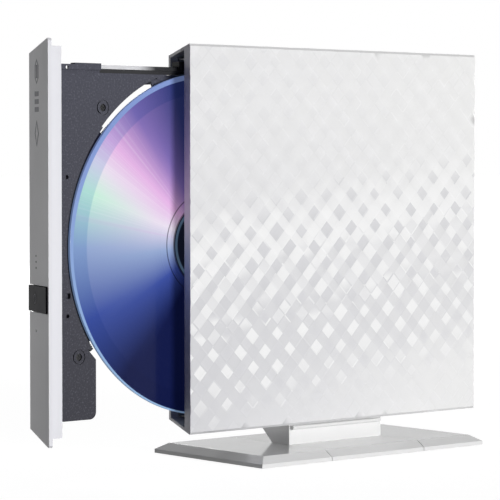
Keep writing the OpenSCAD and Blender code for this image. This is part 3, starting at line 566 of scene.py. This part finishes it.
# %% Assign finishes to the CAD nodes
slot_of = {part["node"]: part["material_slot"] for part in frame["record"]["subparts"]}
BLACKENED = {"tray_screws"}     # the record calls these steel: they look black beside the disc
for name, node in nodes.items():
    finish = finishes["black_plastic" if name in BLACKENED else slot_of[name]].material
    node.data.materials.clear()
    node.data.materials.append(finish)
print("finished nodes:", len(slot_of))

# %% [markdown]
# ## Soft edges
# Exact solids have edges with no width, and they look like paper models. A moulded edge has a small
# radius that catches a line of light. A copy of the CAD mesh is merged, its coplanar triangles are
# joined, and its sharp edges are bevelled. The copy then stands for the node.

# %% Helper for softened copies
SHARP = math.radians(28)
FLAT = math.radians(0.6)


def clean_copy(name):
    """The CAD node's mesh as a BMesh with merged corners and whole flat faces."""
    mesh = bmesh.new()
    mesh.from_mesh(nodes[name].data)
    bmesh.ops.remove_doubles(mesh, verts=mesh.verts, dist=1e-6)
    bmesh.ops.dissolve_limit(mesh, angle_limit=FLAT, verts=mesh.verts, edges=mesh.edges)
    return mesh


def bevel_sharp(mesh, width, segments):
    """Rounds every closed edge that is sharper than the limit."""
    edges = [edge for edge in mesh.edges
             if len(edge.link_faces) == 2 and edge.calc_face_angle(0) > SHARP]
    bmesh.ops.bevel(mesh, geom=edges, offset=width, offset_type="OFFSET", segments=segments,
                    profile=0.5, affect="EDGES", clamp_overlap=True)
    bmesh.ops.remove_doubles(mesh, verts=mesh.verts, dist=1e-7)


def make_piece(name, mesh, finish, body, replaced=()):
    """Turns a BMesh into a finished piece that rides on a body and may stand for CAD nodes."""
    data = bpy.data.meshes.new(name)
    mesh.to_mesh(data)
    mesh.free()
    data.materials.append(finishes[finish].material)
    data.set_sharp_from_angle(angle=SHARP)
    piece = bpy.data.objects.new(name, data)
    bpy.context.scene.collection.objects.link(piece)
    weigh = piece.modifiers.new("weigh", "WEIGHTED_NORMAL")
    weigh.keep_sharp = True
    weigh.weight = 100
    split = piece.modifiers.new("split", "TRIANGULATE")
    split.min_vertices = 5
    split.keep_custom_normals = True
    bpy.context.view_layer.update()
    weighed = bpy.data.meshes.new_from_object(piece.evaluated_get(bpy.context.evaluated_depsgraph_get()))
    piece.modifiers.clear()
    piece.data = weighed
    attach(piece, body)
    if replaced:
        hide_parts(*replaced)
    print(name, "has", len(weighed.polygons), "faces")
    return piece


# %% Soften the plain shells, the stand and the bezel
SOFT_PARTS = [
    # node, body, bevel width in mm
    ("bottom_cover", "case", 0.25),
    ("stand_bar", "stand", 0.2),
    ("stand_wing_front", "stand", 0.2),
    ("stand_wing_rear", "stand", 0.2),
    ("bezel", "tray", 0.22),
    ("eject_button", "button", 0.2),
]
for name, body, width in SOFT_PARTS:
    mesh = clean_copy(name)
    bevel_sharp(mesh, width * MM, 2)
    make_piece(name + "_soft", mesh, slot_of[name], body, [name])

# %% [markdown]
# ## The woven relief
# The cover's face is a lattice of flat bands that cross at right angles, turned 46 degrees from
# upright, with sunk diamonds between them. The rule is simple, so Geometry Nodes make it: a grid
# whose lines come in fours, the two edges of a band and the two edges of the gap beside it. A random
# value per line moves the edges and changes their height, so that no two bands catch the light alike.

# %% Relief tree
LATTICE_TURN = math.radians(46)
RELIEF_INPUTS = [
    ("Pitch", "NodeSocketFloat", 8.5 * MM),
    ("Band", "NodeSocketFloat", 3.9 * MM),
    ("Slope", "NodeSocketFloat", 0.55 * MM),
    ("Depth", "NodeSocketFloat", 0.15 * MM),
    ("Wander", "NodeSocketFloat", 0.75 * MM),
    ("Periods", "NodeSocketInt", 26),
    ("Seed", "NodeSocketInt", 11),
    ("Finish", "NodeSocketMaterial", None),
]
LINES = 4               # lines in one period of the lattice


def new_tree(name, inputs):
    """An empty Geometry Nodes tree with named inputs, as a Graph and its input values."""
    tree = bpy.data.node_groups.new(name, "GeometryNodeTree")
    tree.interface.new_socket("Geometry", in_out="OUTPUT", socket_type="NodeSocketGeometry")
    for label, kind, _ in inputs:
        tree.interface.new_socket(label, in_out="INPUT", socket_type=kind)
    graph = Graph(tree)
    source = tree.nodes.new("NodeGroupInput")
    return graph, {label: Value(graph, source.outputs[label]) for label, _, _ in inputs}


def end_tree(graph, geometry, finish):
    """Every tree ends in real geometry with its material."""
    real = graph.node("GeometryNodeRealizeInstances", None, {0: geometry})
    done = graph.node("GeometryNodeSetMaterial", None, {"Geometry": real, "Material": finish})
    end = graph.tree.nodes.new("NodeGroupOutput")
    graph.tree.links.new(done.socket, end.inputs["Geometry"])


def lattice_line(graph, given, index, seed_shift):
    """Where one lattice line lies, in metres, and how far it is raised, from its whole number."""
    phase = graph.maths("FLOORED_MODULO", index, LINES)
    period = graph.maths("FLOOR", index / LINES)
    past_band = phase > 0.5
    past_slope = phase > 1.5
    past_gap = phase > 2.5
    inside = past_band * given["Band"] + past_slope * given["Slope"]
    inside = inside + past_gap * (given["Pitch"] - given["Band"] - given["Slope"] * 2)
    # A slope keeps its width, so its outer line wanders with the band's edge beside it
    owner = index - (past_slope - past_gap) + past_gap
    seed = given["Seed"] + seed_shift
    wander = graph.node("FunctionNodeRandomValue", {"data_type": "FLOAT"},
                        {2: -1.0, 3: 1.0, "ID": owner, "Seed": seed}, 1)
    place = period * given["Pitch"] + inside + wander * given["Wander"]
    height = graph.node("FunctionNodeRandomValue", {"data_type": "FLOAT"},
                        {2: 0.55, 3: 1.45, "ID": index, "Seed": seed + 1}, 1)
    on_band = phase < 1.5
    return place, on_band * height, on_band


def relief_tree():
    """A grid of band and gap lines, turned, raised where bands lie and marked with attributes."""
    graph, given = new_tree("woven_relief", RELIEF_INPUTS)
    count = given["Periods"] * LINES
    grid = graph.node("GeometryNodeMeshGrid", None,
                      {"Size X": count, "Size Y": count, "Vertices X": count + 1, "Vertices Y": count + 1})
    position = graph.node("GeometryNodeInputPosition")
    along = graph.node("ShaderNodeSeparateXYZ", None, {"Vector": position}, "X")
    across = graph.sibling(along, "Y")
    column = graph.maths("ROUND", along)
    row = graph.maths("ROUND", across)
    u, lift_u, band_u = lattice_line(graph, given, column, 0)
    v, lift_v, band_v = lattice_line(graph, given, row, 50)
    cosine, sine = math.cos(LATTICE_TURN), math.sin(LATTICE_TURN)
    place = graph.node("ShaderNodeCombineXYZ", None,
                       {"X": (lift_u + lift_v - 1.0) * given["Depth"],
                        "Y": u * cosine - v * sine, "Z": u * sine + v * cosine})
    shaped = graph.node("GeometryNodeSetPosition", None, {"Geometry": grid, "Position": place})
    # The attributes are made of the lines' numbers, so they are stored before the points move
    face_index = graph.node("GeometryNodeInputIndex")
    random_face = graph.node("FunctionNodeRandomValue", {"data_type": "FLOAT"},
                             {2: 0.0, 3: 1.0, "ID": face_index, "Seed": given["Seed"] + 9}, 1)
    facet = grid
    for name, value in (("band_u", band_u), ("band_v", band_v), ("glint", random_face)):
        facet = graph.node("GeometryNodeStoreNamedAttribute", {"data_type": "FLOAT", "domain": "FACE"},
                           {"Geometry": facet, "Name": name, "Value": value})
    graph.tree.links.new(facet.socket, shaped.socket.node.inputs["Geometry"])
    end_tree(graph, shaped, given["Finish"])
    return graph.tree


def grow(name, tree, inputs, values):
    """Runs a Geometry Nodes tree on an empty object and returns the plain mesh that it makes."""
    seed_object = bpy.data.objects.new(name, bpy.data.meshes.new(name))
    bpy.context.scene.collection.objects.link(seed_object)
    modifier = seed_object.modifiers.new("grow", "NODES")
    modifier.node_group = tree
    identifiers = {item.name: item.identifier for item in tree.interface.items_tree
                   if item.in_out == "INPUT"}
    for label, _, default in inputs:
        modifier[identifiers[label]] = values.get(label, default)
    bpy.context.view_layer.update()
    ready = seed_object.evaluated_get(bpy.context.evaluated_depsgraph_get())
    mesh = bpy.data.meshes.new_from_object(ready)
    bpy.data.objects.remove(seed_object)
    print(name, "grown:", len(mesh.vertices), "points,", len(mesh.polygons), "faces")
    return mesh


relief = grow("relief", relief_tree(), RELIEF_INPUTS, {"Finish": finishes["patterned_white"].material})

# %% [markdown]
# ## Let the relief into the cover
# The lattice is larger than the cover, so it is cut to the cover's flat face. Its border gets a thin
# skirt down to the face, and the face's four edges are split where the skirt ends, so that the two
# meshes close into one shell.

# %% Cut the relief and close it into the cover
def cut_to(mesh, point, normal):
    """Cuts away what lies on the normal's side of a plane."""
    geometry = mesh.verts[:] + mesh.edges[:] + mesh.faces[:]
    bmesh.ops.bisect_plane(mesh, geom=geometry, dist=1e-7, plane_co=point, plane_no=normal,
                           clear_outer=True)


def patterned_cover():
    """The softened cover with its flat face swapped for the woven relief."""
    shell = clean_copy("top_cover")
    bevel_sharp(shell, 0.12 * MM, 2)
    shell.faces.ensure_lookup_table()
    outward = [face for face in shell.faces if face.normal.x > 0.999]
    face = max(outward, key=lambda candidate: candidate.calc_area())
    corners = [vert.co.copy() for vert in face.verts]
    level = corners[0].x
    low = Vector((level, min(c.y for c in corners), min(c.z for c in corners)))
    high = Vector((level, max(c.y for c in corners), max(c.z for c in corners)))
    centre = (low + high) / 2
    weave = bmesh.new()
    weave.from_mesh(relief)
    bmesh.ops.translate(weave, verts=weave.verts, vec=centre)
    for point, normal in ((low, (0, -1, 0)), (low, (0, 0, -1)), (high, (0, 1, 0)), (high, (0, 0, 1))):
        cut_to(weave, point, normal)
    bmesh.ops.remove_doubles(weave, verts=weave.verts, dist=2e-5)
    border = [edge for edge in weave.edges if edge.is_boundary]
    skirt = bmesh.ops.extrude_edge_only(weave, edges=border)["geom"]
    feet = [item for item in skirt if isinstance(item, bmesh.types.BMVert)]
    for foot in feet:
        foot.co.x = level
    spots = [foot.co.copy() for foot in feet]
    woven = bpy.data.meshes.new("weave")
    weave.to_mesh(woven)
    weave.free()
    # Split the face's four edges at the skirt's feet, then swap the face for the relief
    for edge in list(face.edges):
        split_edge_at(edge, spots)
    shell.faces.remove(face)
    for name, value in (("band_u", 0.0), ("band_v", 1.0), ("glint", 0.3)):
        layer = shell.faces.layers.float.new(name)
        for plain in shell.faces:
            plain[layer] = value
    shell.from_mesh(woven)
    bmesh.ops.remove_doubles(shell, verts=shell.verts, dist=4e-6)
    open_edges = sum(1 for edge in shell.edges if not edge.is_manifold)
    print("open edges left in the cover:", open_edges)
    return shell


def split_edge_at(edge, spots):
    """Adds a corner on a straight edge at every spot that lies on it."""
    start, end = edge.verts
    line = end.co - start.co
    length = line.length
    direction = line / length
    inside = []
    for spot in spots:
        reach = (spot - start.co).dot(direction)
        if (spot - start.co - direction * reach).length < 5e-6 and 1e-5 < reach < length - 1e-5:
            inside.append(reach)
    anchor = start
    origin = start.co.copy()
    done = 0.0
    for reach in sorted(inside):
        if reach - done < 3e-6:
            continue
        part = next(item for item in anchor.link_edges if item.other_vert(anchor) is end)
        fraction = (reach - done) / (length - done)
        _, fresh = bmesh.utils.edge_split(part, anchor, fraction)
        fresh.co = origin + direction * reach
        anchor = fresh
        done = reach


make_piece("patterned_cover", patterned_cover(), "patterned_white", "case", ["top_cover"])

# %% [markdown]
# ## The disc
# A disc is a turned shape: a thin ring with a rounded rim, a stacking ring and a fine groove near
# the hub. The section is drawn once and spun about the spindle.

# %% Spin the disc
DISC_STEPS = 240


def turned(section, centre, steps):
    """Spins a closed section of (radius, X) points, in millimetres, about an axis along X."""
    mesh = bmesh.new()
    rings = []
    for step in range(steps):
        angle = math.tau * step / steps
        ring = [mesh.verts.new((x * MM, centre.y + radius * MM * math.cos(angle),
                                centre.z + radius * MM * math.sin(angle)))
                for radius, x in section]
        rings.append(ring)
    count = len(section)
    for step, ring in enumerate(rings):
        following = rings[(step + 1) % steps]
        for index in range(count):
            after = (index + 1) % count
            mesh.faces.new((ring[index], ring[after], following[after], following[index]))
    bmesh.ops.recalc_face_normals(mesh, faces=mesh.faces)
    return mesh


disc_back = disc_low.x / MM
disc_face = disc_back + 1.2
outer = disc_radius / MM
DISC_SECTION = [
    (7.5, disc_back + 0.15), (7.65, disc_back), (outer - 0.2, disc_back), (outer - 0.06, disc_back + 0.06),
    (outer, disc_back + 0.2), (outer, disc_face - 0.2), (outer - 0.06, disc_face - 0.06),
    (outer - 0.2, disc_face), (outer - 1.75, disc_face), (outer - 1.8, disc_face - 0.03),
    (outer - 1.95, disc_face - 0.03), (outer - 2.0, disc_face), (21.6, disc_face), (21.4, disc_face - 0.04),
    (21.0, disc_face - 0.04), (20.8, disc_face), (18.7, disc_face), (18.6, disc_face - 0.08),
    (18.2, disc_face - 0.08), (18.1, disc_face), (17.5, disc_face), (17.3, disc_face + 0.14),
    (16.7, disc_face + 0.14), (16.5, disc_face), (15.3, disc_face), (15.2, disc_face - 0.06),
    (14.9, disc_face - 0.06), (14.8, disc_face), (7.65, disc_face), (7.5, disc_face - 0.15),
]
make_piece("pressed_disc", turned(DISC_SECTION, disc_centre, DISC_STEPS),
           "disc_polycarbonate", "spindle", ["disc"])

# %% [markdown]
# ## The comb beside the disc
# Low on the well's wall a short black comb keeps a tilted disc off the tray. Its teeth repeat, so
# Geometry Nodes make them: points along an arc, each with a tooth turned to the spindle.

# %% Comb tree
COMB_INPUTS = [
    ("Teeth", "NodeSocketInt", 24),
    ("First", "NodeSocketFloat", math.radians(197.5)),
    ("Step", "NodeSocketFloat", math.radians(0.74)),
    ("Radius", "NodeSocketFloat", disc_radius + 1.15 * MM),
    ("Tooth", "NodeSocketVector", (2.3 * MM, 1.5 * MM, 0.5 * MM)),
    ("Foot", "NodeSocketVector", (1.9 * MM, 1.0 * MM, 0.84 * MM)),
    ("Seed", "NodeSocketInt", 4),
    ("Finish", "NodeSocketMaterial", None),
]


def comb_tree():
    """Teeth on an arc about the spindle, each with a smaller foot that closes the gap to the next."""
    graph, given = new_tree("comb", COMB_INPUTS)
    line = graph.node("GeometryNodeMeshLine", None, {"Count": given["Teeth"]})
    index = graph.node("GeometryNodeInputIndex")
    angle = given["First"] + index * given["Step"]
    cosine = graph.maths("COSINE", angle)
    sine = graph.maths("SINE", angle)
    radius = given["Radius"]
    uneven = graph.node("FunctionNodeRandomValue", {"data_type": "FLOAT"},
                        {2: 0.0, 3: 0.1 * MM, "Seed": given["Seed"]}, 1)
    place = graph.node("ShaderNodeCombineXYZ", None,
                       {"X": uneven, "Y": radius * cosine, "Z": radius * sine})
    points = graph.node("GeometryNodeSetPosition", None, {"Geometry": line, "Position": place})
    turn = graph.node("ShaderNodeCombineXYZ", None, {"X": angle})
    tooth = graph.node("GeometryNodeMeshCube", None, {"Size": given["Tooth"]})
    foot = graph.node("GeometryNodeMeshCube", None, {"Size": given["Foot"]})
    shapes = [graph.node("GeometryNodeInstanceOnPoints", None,
                         {"Points": points, "Instance": shape, "Rotation": turn})
              for shape in (tooth, foot)]
    both = graph.node("GeometryNodeJoinGeometry")
    for shape in shapes:
        graph.tree.links.new(shape.socket, both.socket.node.inputs[0])
    end_tree(graph, both, given["Finish"])
    return graph.tree


COMB_BEHIND = 2.2       # how far the comb's middle lies behind the disc's face, in mm
comb = bmesh.new()
comb.from_mesh(grow("comb", comb_tree(), COMB_INPUTS, {"Finish": finishes["black_plastic"].material}))
bmesh.ops.translate(comb, verts=comb.verts,
                    vec=((disc_face - COMB_BEHIND) * MM, disc_centre.y, disc_centre.z))
make_piece("well_comb", comb, "black_plastic", "tray")

# %% [markdown]
# ## Small things on the bezel
# The bezel carries three faint embossed symbols and the button an oval one. They stay generic: a
# hexagon round a bar, three bars and a lozenge. Each is a thin plate on the sloping front, a few
# hundredths of a millimetre proud.

# %% Marks on the sloping front
front_near = Vector((bezel_high.x, bezel_low.y, 0))
slope_along = Vector((1, -RAKE, 0)).normalized()
slope_out = Vector((-RAKE, -1, 0)).normalized()
MARK_PROUD = 0.04       # sizes in mm, from the sloping front
BUTTON_PROUD = 0.6
MARK_X = -2.0           # the middle of the three symbols
BUTTON_MARK_X = -2.8
HEXAGON_Z = 136.0
BARS_Z = 126.0
LOZENGE_Z = 115.4


def on_front(x, z, out):
    """A point at depth X and height Z, in mm, on the bezel's front, moved out by so much."""
    base = Vector((x * MM, front_near.y + (front_near.x - x * MM) * RAKE, z * MM))
    return base + slope_out * out * MM


def plate_mark(mesh, outline, x, z, out, thick=0.1):
    """A thin closed plate with a flat outline of (across, up) points in millimetres."""
    scale = slope_along.x
    front = [mesh.verts.new(on_front(x + a * scale, z + b, out)) for a, b in outline]
    back = [mesh.verts.new(on_front(x + a * scale, z + b, out - thick)) for a, b in outline]
    mesh.faces.new(front)
    mesh.faces.new(back[::-1])
    for index in range(len(outline)):
        after = (index + 1) % len(outline)
        mesh.faces.new((front[index], back[index], back[after], front[after]))


def ring_mark(mesh, radius_a, radius_b, width, sides, x, z, out, turn=0.0):
    """A closed band round a centre, as short plates that share their corners."""
    for side in range(sides):
        corners = []
        for step, size in ((side, 0), (side + 1, 0), (side + 1, width), (side, width)):
            angle = math.tau * step / sides + turn
            corners.append(((radius_a - size) * math.cos(angle), (radius_b - size) * math.sin(angle)))
        plate_mark(mesh, corners, x, z, out)


def bar(half_width, half_height, shift=0.0):
    """The four corners of an upright bar, moved up by a shift."""
    return [(-half_width, shift - half_height), (half_width, shift - half_height),
            (half_width, shift + half_height), (-half_width, shift + half_height)]


def close_mark(mesh):
    bmesh.ops.remove_doubles(mesh, verts=mesh.verts, dist=1e-7)
    bmesh.ops.recalc_face_normals(mesh, faces=mesh.faces)
    return mesh


marks = bmesh.new()
ring_mark(marks, 2.4, 4.2, 0.6, 6, MARK_X, HEXAGON_Z, MARK_PROUD, math.pi / 6)
plate_mark(marks, bar(1.0, 2.2), MARK_X, HEXAGON_Z, MARK_PROUD)
for shift in (-2.6, 0.0, 2.6):
    plate_mark(marks, bar(2.3, 0.8, shift), MARK_X, BARS_Z, MARK_PROUD)
ring_mark(marks, 2.3, 4.4, 0.7, 4, MARK_X, LOZENGE_Z, MARK_PROUD)
make_piece("bezel_marks", close_mark(marks), "mark_grey", "tray")

button_mark = bmesh.new()
button_middle = (button_low.z + button_high.z) / 2 / MM
ring_mark(button_mark, 1.15, 1.7, 0.28, 24, BUTTON_MARK_X, button_middle, BUTTON_PROUD + MARK_PROUD)
make_piece("button_mark", close_mark(button_mark), "mark_grey", "button")

# %% [markdown]
# ## Stage and light
# The floor is plain and pale. The key light faces the patterned cover, so the bezel and the case's
# front edge fall into shade, and a weaker light stands behind on the plain side. The sky is white to
# the viewer but dim to the object, apart from two soft patches that the glossy parts mirror.

# %% Floor
FLOOR_HALF = 12.0       # half the floor's side, in metres
FLOOR_DROP = 0.05       # in mm: keeps the feet's undersides clear of the paper
FLOOR_GLOW = 0.93       # how bright the paper looks to the viewer near the object,
FAR_GLOW = 1.02         # and far from it
MIRRORED_GLOW = 1.0     # how much of that a mirrored view of the floor gets
floor_mesh = bmesh.new()
bmesh.ops.create_grid(floor_mesh, x_segments=1, y_segments=1, size=FLOOR_HALF)
bmesh.ops.translate(floor_mesh, verts=floor_mesh.verts, vec=mm(0, 0, -FLOOR_DROP))
floor_data = bpy.data.meshes.new("floor")
floor_mesh.to_mesh(floor_data)
floor_mesh.free()
floor = bpy.data.objects.new("floor", floor_data)
bpy.context.scene.collection.objects.link(floor)
floor_finish = Finish("floor_paper", Roughness=0.9, Specular_IOR_Level=0.0)
floor_grey = floor_finish.blend(floor_finish.noise(6.0), tone(116, 116, 116), tone(120, 120, 120))
floor_finish.feed(Base_Color=floor_grey)
# The paper looks lit from behind to the viewer, and sends little light back up to the object
floor_seen = floor_finish.node("ShaderNodeLightPath")
mirrored = floor_finish.sibling(floor_seen, "Is Glossy Ray")
reach = floor_finish.node("ShaderNodeVectorMath", {"operation": "LENGTH"},
                          {0: floor_finish.place}, "Value")
floor_glow = floor_finish.spread(reach, 0.2, 1.4, FLOOR_GLOW, FAR_GLOW, True)
glow = floor_finish.node("ShaderNodeEmission", None,
                         {"Color": (1, 1, 1, 1),
                          "Strength": (floor_seen + mirrored * MIRRORED_GLOW) * floor_glow})
plain_paper = Value(floor_finish, floor_finish.shader.outputs[0])
paper = floor_finish.node("ShaderNodeAddShader", None, {0: plain_paper, 1: glow})
floor_end = next(node for node in floor_finish.tree.nodes if node.type == "OUTPUT_MATERIAL")
floor_finish.tree.links.new(paper.socket, floor_end.inputs["Surface"])
floor_data.materials.append(floor_finish.material)
print("floor lies", FLOOR_DROP, "mm below the feet and is", 2 * FLOOR_HALF, "m wide")

# %% Lights
def soft_light(name, place, target, size, power):
    """A square lamp of a size in metres and a power in watts, turned to face the target."""
    light = bpy.data.lights.new(name, "AREA")
    light.shape = "SQUARE"
    light.size = size
    light.energy = power
    lamp = bpy.data.objects.new(name, light)
    lamp.location = place
    lamp.rotation_euler = (Vector(target) - Vector(place)).to_track_quat("-Z", "Y").to_euler()
    bpy.context.scene.collection.objects.link(lamp)
    return lamp


TARGET = (0.0, 0.0, 0.08)
soft_light("key", (1.6, -0.06, 0.2), TARGET, 0.45, 25.0)
soft_light("back", (-1.35, 0.68, 0.5), TARGET, 0.5, 9.0)

# %% Sky
SEEN_SKY = 1.0          # what the viewer sees
DIM_SKY = 0.06          # what the object gets from the bezel's side
LIT_SKY = 0.1           # and from above
REAR_GLOW = 0.65        # low behind the drive, where the glossy tops look
REAR = (-0.76, 0.65, 0.0)
SIDE_GLOW = 0.45        # the patch that the bezel's front mirrors
SIDE = (-0.99, -0.1, -0.05)


def towards(graph, direction, goal):
    """How nearly a direction points at a goal, as their dot product."""
    return graph.node("ShaderNodeVectorMath", {"operation": "DOT_PRODUCT"}, {0: direction, 1: goal},
                      "Value")


sky = bpy.data.worlds.new("sky")
sky.use_nodes = True
bpy.context.scene.world = sky
sky_graph = Graph(sky.node_tree)
sky.node_tree.nodes.clear()
seen = sky_graph.node("ShaderNodeLightPath")
direction = sky_graph.node("ShaderNodeTexCoord")
depth = sky_graph.node("ShaderNodeSeparateXYZ", None, {"Vector": direction}, "Y")
height = sky_graph.sibling(depth, "Z")
lit = sky_graph.spread(depth + height * 0.8, -0.6, 0.8, DIM_SKY, LIT_SKY)
lit = lit + sky_graph.spread(towards(sky_graph, direction, REAR), 0.45, 0.97, 0.0, REAR_GLOW, True)
lit = lit + sky_graph.spread(towards(sky_graph, direction, SIDE), 0.75, 0.98, 0.0, SIDE_GLOW, True)
strength = lit + seen * (SEEN_SKY - lit)
background = sky_graph.node("ShaderNodeBackground", None, {"Color": (1, 1, 1, 1), "Strength": strength})
sky_end = sky.node_tree.nodes.new("ShaderNodeOutputWorld")
sky.node_tree.links.new(background.socket, sky_end.inputs["Surface"])
bpy.context.scene.view_settings.view_transform = "Standard"
print("sky has", len(sky.node_tree.nodes), "nodes and looks as bright as", SEEN_SKY)
